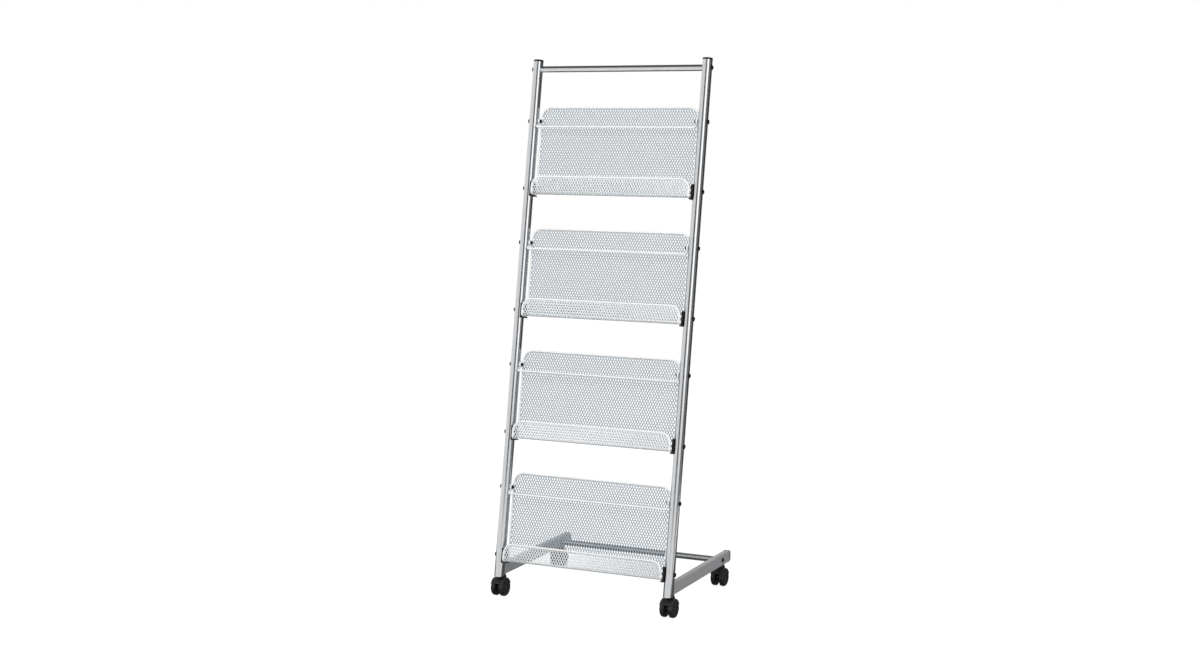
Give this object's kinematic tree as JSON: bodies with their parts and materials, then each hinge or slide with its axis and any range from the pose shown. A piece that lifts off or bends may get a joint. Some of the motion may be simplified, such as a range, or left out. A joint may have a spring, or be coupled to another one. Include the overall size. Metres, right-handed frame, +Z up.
{
  "type": "periodical display rack",
  "caption": "Mobile leaning display rack: tube uprights on a castored base carry folded wire-rimmed mesh pockets with retaining wires for showing magazines face out.",
  "frame": {"origin": "on the floor, under the middle of the rack's box", "axes": "+Z up, the display side faces -Y, +X to the viewer's right"},
  "size_m": [0.496, 0.404, 1.3343],
  "materials": {
    "silver_paint": "satin silver paint on steel tube",
    "grey_paint": "satin grey paint on flat-sided steel tube",
    "grey_plastic": "moulded grey plastic",
    "bright_wire": "bright silver lacquer on steel wire",
    "mesh_steel": "bright silver lacquer on expanded steel mesh",
    "black_plastic": "moulded black plastic",
    "black_steel": "black coated steel fastener",
    "pin_steel": "plain turned steel"
  },
  "bodies": {
    "rack_frame": {"upright_left": "silver_paint", "upright_cap_left": "black_plastic", "upright_right": "silver_paint", "upright_cap_right": "black_plastic", "top_rail": "silver_paint", "base_arm_left": "grey_paint", "arm_end_cap_left": "grey_plastic", "crossbar_screw_left": "black_steel", "base_arm_right": "grey_paint", "arm_end_cap_right": "grey_plastic", "crossbar_screw_right": "black_steel", "rear_crossbar": "silver_paint", "caster_front_left_stem": "pin_steel", "caster_front_right_stem": "pin_steel", "caster_rear_left_stem": "pin_steel", "caster_rear_right_stem": "pin_steel", "pocket_1_mesh": "mesh_steel", "pocket_1_rim": "bright_wire", "pocket_1_retaining_wire": "bright_wire", "pocket_1_upper_bolt_left": "black_steel", "pocket_1_lower_bracket_left": "black_plastic", "pocket_1_upper_bolt_right": "black_steel", "pocket_1_lower_bracket_right": "black_plastic", "pocket_2_mesh": "mesh_steel", "pocket_2_rim": "bright_wire", "pocket_2_retaining_wire": "bright_wire", "pocket_2_upper_bolt_left": "black_steel", "pocket_2_lower_bracket_left": "black_plastic", "pocket_2_upper_bolt_right": "black_steel", "pocket_2_lower_bracket_right": "black_plastic", "pocket_3_mesh": "mesh_steel", "pocket_3_rim": "bright_wire", "pocket_3_retaining_wire": "bright_wire", "pocket_3_upper_bolt_left": "black_steel", "pocket_3_lower_bracket_left": "black_plastic", "pocket_3_upper_bolt_right": "black_steel", "pocket_3_lower_bracket_right": "black_plastic", "pocket_4_mesh": "mesh_steel", "pocket_4_rim": "bright_wire", "pocket_4_retaining_wire": "bright_wire", "pocket_4_upper_bolt_left": "black_steel", "pocket_4_lower_bracket_left": "black_plastic", "pocket_4_upper_bolt_right": "black_steel", "pocket_4_lower_bracket_right": "black_plastic"},
    "front_left_caster": {"caster_front_left_hood": "black_plastic", "caster_front_left_axle": "pin_steel"},
    "front_left_caster_left_wheel": {"caster_front_left_wheel_left": "black_plastic"},
    "front_left_caster_right_wheel": {"caster_front_left_wheel_right": "black_plastic"},
    "front_right_caster": {"caster_front_right_hood": "black_plastic", "caster_front_right_axle": "pin_steel"},
    "front_right_caster_left_wheel": {"caster_front_right_wheel_left": "black_plastic"},
    "front_right_caster_right_wheel": {"caster_front_right_wheel_right": "black_plastic"},
    "rear_left_caster": {"caster_rear_left_hood": "black_plastic", "caster_rear_left_axle": "pin_steel"},
    "rear_left_caster_left_wheel": {"caster_rear_left_wheel_left": "black_plastic"},
    "rear_left_caster_right_wheel": {"caster_rear_left_wheel_right": "black_plastic"},
    "rear_right_caster": {"caster_rear_right_hood": "black_plastic", "caster_rear_right_axle": "pin_steel"},
    "rear_right_caster_left_wheel": {"caster_rear_right_wheel_left": "black_plastic"},
    "rear_right_caster_right_wheel": {"caster_rear_right_wheel_right": "black_plastic"}
  },
  "joints": [
    {"name": "front_left_swivel", "type": "hinge", "parent": "rack_frame", "child": "front_left_caster", "pos_m": [-0.23, -0.16499, 0.045], "axis": [0, 0, 1], "continuous": true},
    {"name": "front_left_left_wheel_spin", "type": "hinge", "parent": "front_left_caster", "child": "front_left_caster_left_wheel", "pos_m": [-0.23, -0.17999, 0.022], "axis": [1, 0, 0], "continuous": true},
    {"name": "front_left_right_wheel_spin", "type": "hinge", "parent": "front_left_caster", "child": "front_left_caster_right_wheel", "pos_m": [-0.23, -0.17999, 0.022], "axis": [1, 0, 0], "continuous": true},
    {"name": "front_right_swivel", "type": "hinge", "parent": "rack_frame", "child": "front_right_caster", "pos_m": [0.23, -0.16499, 0.045], "axis": [0, 0, 1], "continuous": true},
    {"name": "front_right_left_wheel_spin", "type": "hinge", "parent": "front_right_caster", "child": "front_right_caster_left_wheel", "pos_m": [0.23, -0.17999, 0.022], "axis": [1, 0, 0], "continuous": true},
    {"name": "front_right_right_wheel_spin", "type": "hinge", "parent": "front_right_caster", "child": "front_right_caster_right_wheel", "pos_m": [0.23, -0.17999, 0.022], "axis": [1, 0, 0], "continuous": true},
    {"name": "rear_left_swivel", "type": "hinge", "parent": "rack_frame", "child": "rear_left_caster", "pos_m": [-0.23, 0.15999, 0.045], "axis": [0, 0, 1], "continuous": true},
    {"name": "rear_left_left_wheel_spin", "type": "hinge", "parent": "rear_left_caster", "child": "rear_left_caster_left_wheel", "pos_m": [-0.23, 0.14499, 0.022], "axis": [1, 0, 0], "continuous": true},
    {"name": "rear_left_right_wheel_spin", "type": "hinge", "parent": "rear_left_caster", "child": "rear_left_caster_right_wheel", "pos_m": [-0.23, 0.14499, 0.022], "axis": [1, 0, 0], "continuous": true},
    {"name": "rear_right_swivel", "type": "hinge", "parent": "rack_frame", "child": "rear_right_caster", "pos_m": [0.23, 0.15999, 0.045], "axis": [0, 0, 1], "continuous": true},
    {"name": "rear_right_left_wheel_spin", "type": "hinge", "parent": "rear_right_caster", "child": "rear_right_caster_left_wheel", "pos_m": [0.23, 0.14499, 0.022], "axis": [1, 0, 0], "continuous": true},
    {"name": "rear_right_right_wheel_spin", "type": "hinge", "parent": "rear_right_caster", "child": "rear_right_caster_right_wheel", "pos_m": [0.23, 0.14499, 0.022], "axis": [1, 0, 0], "continuous": true}
  ]
}
